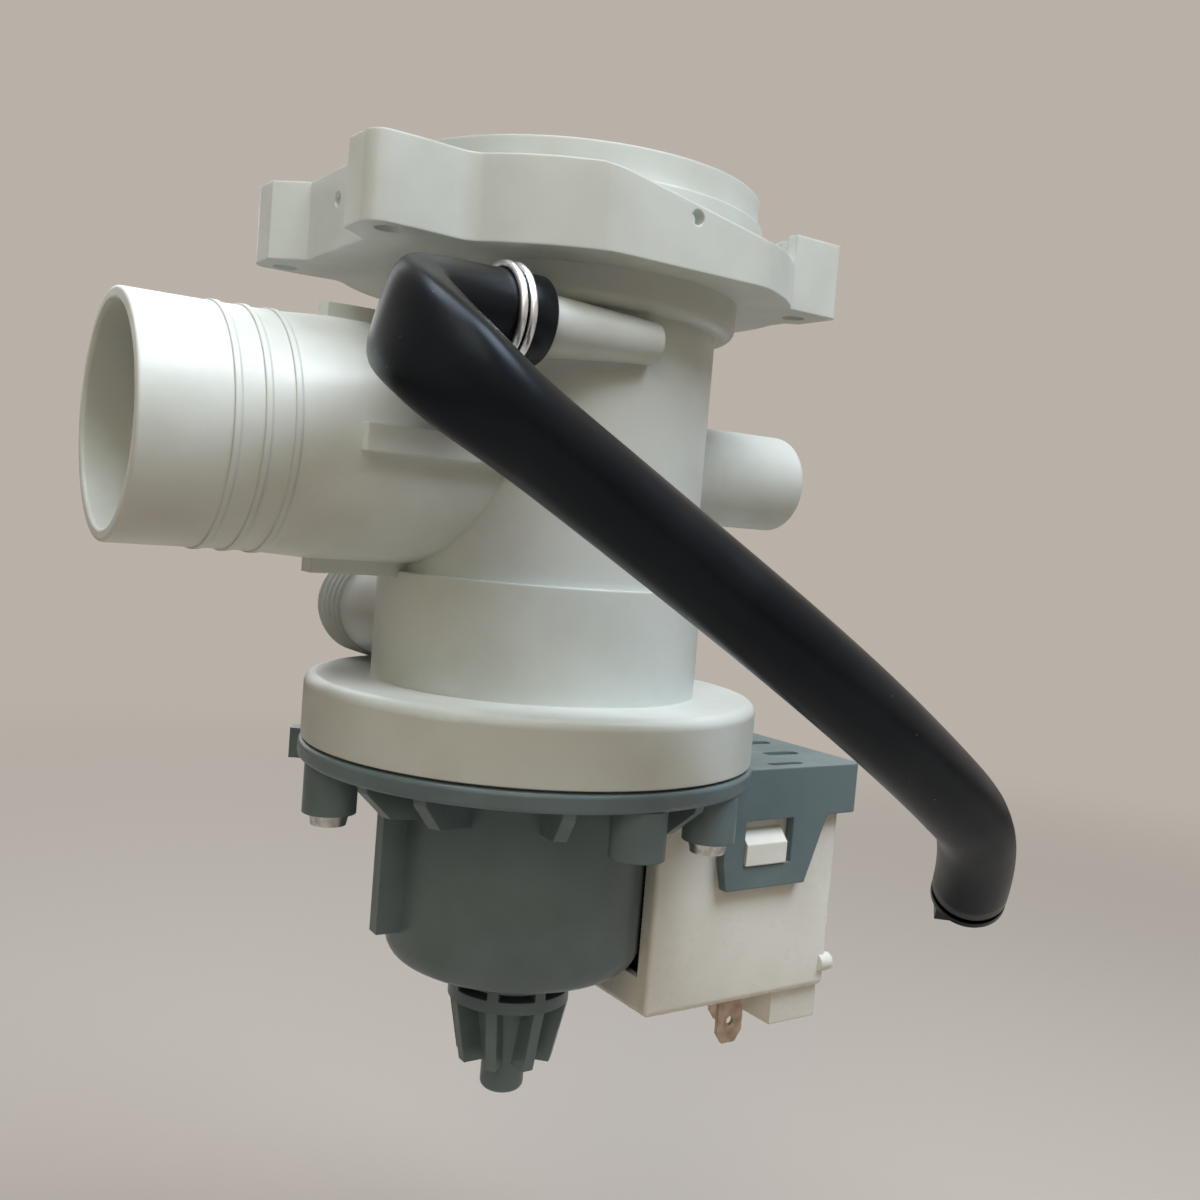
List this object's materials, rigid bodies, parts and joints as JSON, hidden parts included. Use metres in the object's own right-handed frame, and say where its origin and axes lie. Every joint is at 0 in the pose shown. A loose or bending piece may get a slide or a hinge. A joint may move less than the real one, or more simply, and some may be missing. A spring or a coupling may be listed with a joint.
{
  "type": "washing machine drain pump",
  "caption": "Magnetically driven drain pump with a screw-in filter, hose spigots, a coil block latched under a bracket, and a clamped drain hose with its stopper.",
  "frame": {"origin": "on the pump axis, in the front plane of the mounting flange", "axes": "+Z along the pump axis, out of the filter mouth; the inlet spigot points along -X, the side stub along +X and the outlet spigot along +Y"},
  "size_m": [0.1578, 0.1128, 0.1719],
  "materials": {
    "natural_polypropylene": "satin, slightly translucent",
    "dark_grey_plastic": "satin",
    "black_rubber": "matt",
    "white_plastic": "satin",
    "blue_grey_plastic": "satin",
    "zinc_plated_steel": "zinc plated",
    "lamination_steel": "oiled",
    "enamelled_copper": "enamelled",
    "black_plastic": "satin",
    "cream_white_plastic": "satin",
    "tinned_brass": "tinned, tarnished",
    "bearing_ceramic": "ground",
    "stainless_steel": "ground",
    "ferrite": "matt",
    "black_hose_rubber": "satin, dusty",
    "spring_steel": "bright wire"
  },
  "bodies": {
    "housing": {"pump_housing": "natural_polypropylene", "motor_housing": "blue_grey_plastic", "flange_screws": "zinc_plated_steel", "housing_seal": "black_rubber", "drain_hose": "black_hose_rubber", "hose_clamp": "spring_steel", "stator_core": "lamination_steel", "coil_bobbins": "white_plastic", "coil_windings": "enamelled_copper", "thermal_cutout": "black_plastic", "coil_cover": "cream_white_plastic", "terminals": "tinned_brass", "rear_grommet": "black_rubber", "rear_bearing": "bearing_ceramic", "bearing_plate": "white_plastic", "front_grommet": "black_rubber", "front_bearing": "bearing_ceramic"},
    "seal": {"filter_seal": "black_rubber"},
    "filter": {"filter_cap": "dark_grey_plastic", "filter_cage": "white_plastic"},
    "rotor": {"rotor_shaft": "stainless_steel", "rotor_magnet": "ferrite", "magnet_sleeve": "white_plastic", "thrust_washer": "black_plastic", "drive_dog": "white_plastic"},
    "impeller": {"impeller": "white_plastic", "impeller_lid": "white_plastic"},
    "stopper": {"hose_plug": "black_hose_rubber"}
  },
  "joints": [
    {"name": "filter_lift", "type": "slide", "parent": "housing", "child": "seal", "axis": [0, 0, 1], "range_m": [0, 0.006]},
    {"name": "filter_turn", "type": "hinge", "parent": "seal", "child": "filter", "pos_m": [0, 0, 0], "axis": [0, 0, 1], "range_deg": [0, 90.5]},
    {"name": "rotor_spin", "type": "hinge", "parent": "housing", "child": "rotor", "pos_m": [0, 0, -0.1156], "axis": [0, 0, 1], "continuous": true},
    {"name": "impeller_play", "type": "hinge", "parent": "rotor", "child": "impeller", "pos_m": [0, 0, -0.089], "axis": [0, 0, 1], "range_deg": [-140, 140]},
    {"name": "stopper_pull", "type": "slide", "parent": "housing", "child": "stopper", "axis": [0.4467, 0.4696, -0.7616], "range_m": [0, 0.008]}
  ],
  "couplings": [
    {"joint": "filter_turn", "follows": "filter_lift", "rad_per_m": 261.8}
  ]
}
